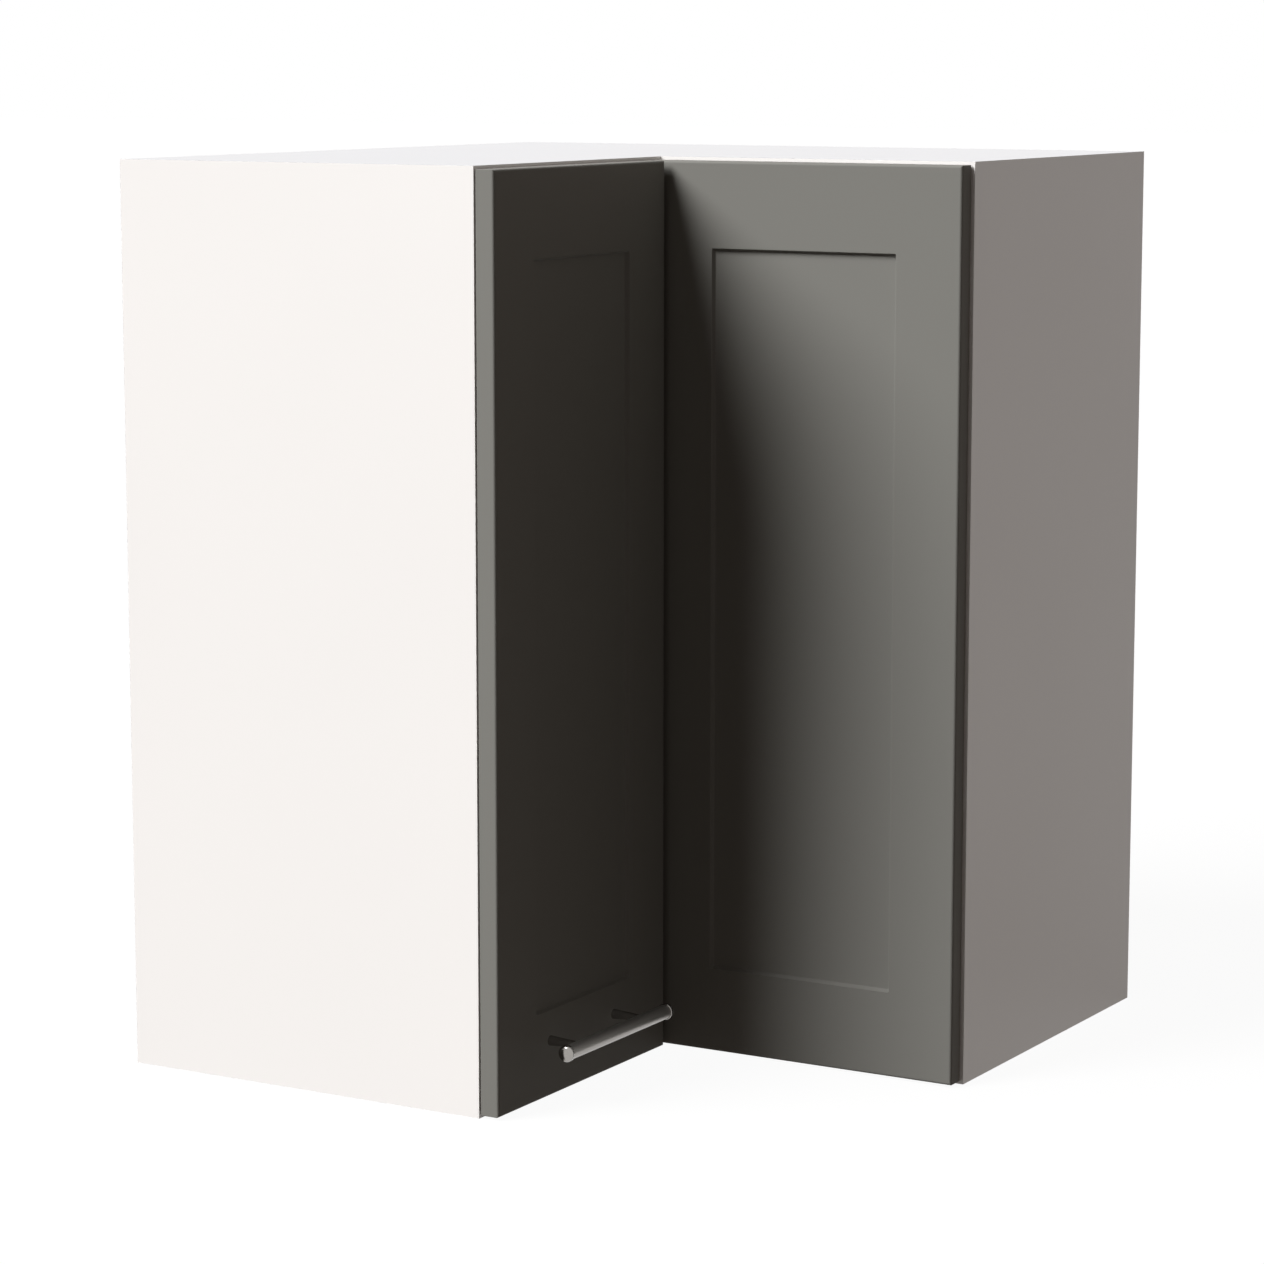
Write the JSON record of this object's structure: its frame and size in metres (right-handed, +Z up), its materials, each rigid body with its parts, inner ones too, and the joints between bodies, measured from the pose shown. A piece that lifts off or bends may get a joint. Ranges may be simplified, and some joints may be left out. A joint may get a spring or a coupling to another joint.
{
  "type": "corner wall cabinet",
  "caption": "L-shaped corner wall cabinet with a folding pair of framed doors, adjustable shelves and hooks for a wall rail.",
  "frame": {"origin": "middle of the 600 mm square that the two legs span, on the underside of the carcass", "axes": "+Z up; the walls are at the -X and +Y sides, and the notch with the doors faces +X and -Y"},
  "size_m": [0.6, 0.6, 0.72],
  "materials": {
    "white_board": "white melamine-faced chipboard with thin edging",
    "back_board": "thin white-faced fibreboard",
    "grey_door": "matt warm-grey film over fibreboard",
    "dowel_wood": "plain fluted beech",
    "polished_chrome": "polished chrome plate",
    "hinge_steel": "nickel-plated pressed steel",
    "zinc_casting": "plain die-cast zinc",
    "screw_steel": "zinc-plated steel",
    "hanger_plastic": "moulded plastic, fine matt texture",
    "cap_plastic": "smooth moulded plastic",
    "clear_plastic": "soft translucent plastic"
  },
  "bodies": {
    "carcass": {"left_side_panel": "white_board", "right_side_panel": "white_board", "bottom_panel": "white_board", "top_panel": "white_board", "lower_shelf": "white_board", "upper_shelf": "white_board", "lower_shelf_pins": "screw_steel", "upper_shelf_pins": "screw_steel", "left_back_panel": "back_board", "rear_back_panel": "back_board", "corner_post": "white_board", "back_panel_screws": "screw_steel", "cam_housings": "zinc_casting", "cam_bolts": "screw_steel", "cam_cover_caps": "cap_plastic", "dowels": "dowel_wood", "left_hanger_housing": "hanger_plastic", "right_hanger_housing": "hanger_plastic", "left_hanger_hook": "hinge_steel", "right_hanger_hook": "hinge_steel", "left_hanger_cover": "cap_plastic", "right_hanger_cover": "cap_plastic", "hanger_adjusting_screws": "screw_steel", "hanger_fixing_screws": "screw_steel", "lower_hinge_plate": "hinge_steel", "upper_hinge_plate": "hinge_steel", "lower_hinge_arm": "hinge_steel", "upper_hinge_arm": "hinge_steel", "hinge_plate_screws": "screw_steel", "hinge_arm_screws": "screw_steel"},
    "right_door": {"right_door": "grey_door", "lower_hinge_cup": "hinge_steel", "upper_hinge_cup": "hinge_steel", "lower_fold_hinge_cup": "hinge_steel", "upper_fold_hinge_cup": "hinge_steel", "hinge_cup_screws": "screw_steel"},
    "left_door": {"left_door": "grey_door", "lower_fold_hinge_plate": "hinge_steel", "upper_fold_hinge_plate": "hinge_steel", "lower_fold_hinge_arm": "hinge_steel", "upper_fold_hinge_arm": "hinge_steel", "fold_hinge_plate_screws": "screw_steel", "fold_hinge_arm_screws": "screw_steel", "handle_bar": "polished_chrome", "handle_collars": "polished_chrome", "handle_posts": "polished_chrome", "handle_screws": "screw_steel", "door_bumpers": "clear_plastic"},
    "lower_hinge_swing_link": {"lower_hinge_swing_link": "hinge_steel"},
    "lower_hinge_cup_link": {"lower_hinge_cup_link": "hinge_steel"},
    "lower_fold_hinge_swing_link": {"lower_fold_hinge_swing_link": "hinge_steel"},
    "lower_fold_hinge_cup_link": {"lower_fold_hinge_cup_link": "hinge_steel"},
    "upper_hinge_swing_link": {"upper_hinge_swing_link": "hinge_steel"},
    "upper_hinge_cup_link": {"upper_hinge_cup_link": "hinge_steel"},
    "upper_fold_hinge_swing_link": {"upper_fold_hinge_swing_link": "hinge_steel"},
    "upper_fold_hinge_cup_link": {"upper_fold_hinge_cup_link": "hinge_steel"}
  },
  "joints": [
    {"name": "right_door_swing", "type": "hinge", "parent": "carcass", "child": "right_door", "pos_m": [0.2975, -0.0422, 0], "axis": [0, 0, 1], "range_deg": [0, 110]},
    {"name": "left_door_fold", "type": "hinge", "parent": "right_door", "child": "left_door", "pos_m": [0.0262, -0.0262, 0], "axis": [0, 0, 1], "range_deg": [-60, 0]},
    {"name": "lower_hinge_swing", "type": "hinge", "parent": "carcass", "child": "lower_hinge_swing_link", "pos_m": [0.2635, -0.0112, 0.1], "axis": [0, 0, 1], "range_deg": [0, 110]},
    {"name": "lower_hinge_cup", "type": "hinge", "parent": "right_door", "child": "lower_hinge_cup_link", "pos_m": [0.276, -0.0292, 0.1], "axis": [0, 0, 1], "range_deg": [-110, 0]},
    {"name": "lower_fold_hinge_swing", "type": "hinge", "parent": "left_door", "child": "lower_fold_hinge_swing_link", "pos_m": [0.0102, -0.0162, 0.1], "axis": [0, 0, 1], "range_deg": [0, 60]},
    {"name": "lower_fold_hinge_cup", "type": "hinge", "parent": "right_door", "child": "lower_fold_hinge_cup_link", "pos_m": [0.0477, -0.0292, 0.1], "axis": [0, 0, 1], "range_deg": [-60, 0]},
    {"name": "upper_hinge_swing", "type": "hinge", "parent": "carcass", "child": "upper_hinge_swing_link", "pos_m": [0.2635, -0.0112, 0.62], "axis": [0, 0, 1], "range_deg": [0, 110]},
    {"name": "upper_hinge_cup", "type": "hinge", "parent": "right_door", "child": "upper_hinge_cup_link", "pos_m": [0.276, -0.0292, 0.62], "axis": [0, 0, 1], "range_deg": [-110, 0]},
    {"name": "upper_fold_hinge_swing", "type": "hinge", "parent": "left_door", "child": "upper_fold_hinge_swing_link", "pos_m": [0.0102, -0.0162, 0.62], "axis": [0, 0, 1], "range_deg": [0, 60]},
    {"name": "upper_fold_hinge_cup", "type": "hinge", "parent": "right_door", "child": "upper_fold_hinge_cup_link", "pos_m": [0.0477, -0.0292, 0.62], "axis": [0, 0, 1], "range_deg": [-60, 0]}
  ],
  "couplings": [
    {"joint": "left_door_fold", "follows": "right_door_swing", "ratio": -0.54545},
    {"joint": "lower_hinge_swing", "follows": "right_door_swing", "ratio": 1},
    {"joint": "lower_hinge_cup", "follows": "right_door_swing", "ratio": -1},
    {"joint": "lower_fold_hinge_swing", "follows": "right_door_swing", "ratio": 0.54545},
    {"joint": "lower_fold_hinge_cup", "follows": "right_door_swing", "ratio": -0.54545},
    {"joint": "upper_hinge_swing", "follows": "right_door_swing", "ratio": 1},
    {"joint": "upper_hinge_cup", "follows": "right_door_swing", "ratio": -1},
    {"joint": "upper_fold_hinge_swing", "follows": "right_door_swing", "ratio": 0.54545},
    {"joint": "upper_fold_hinge_cup", "follows": "right_door_swing", "ratio": -0.54545}
  ]
}
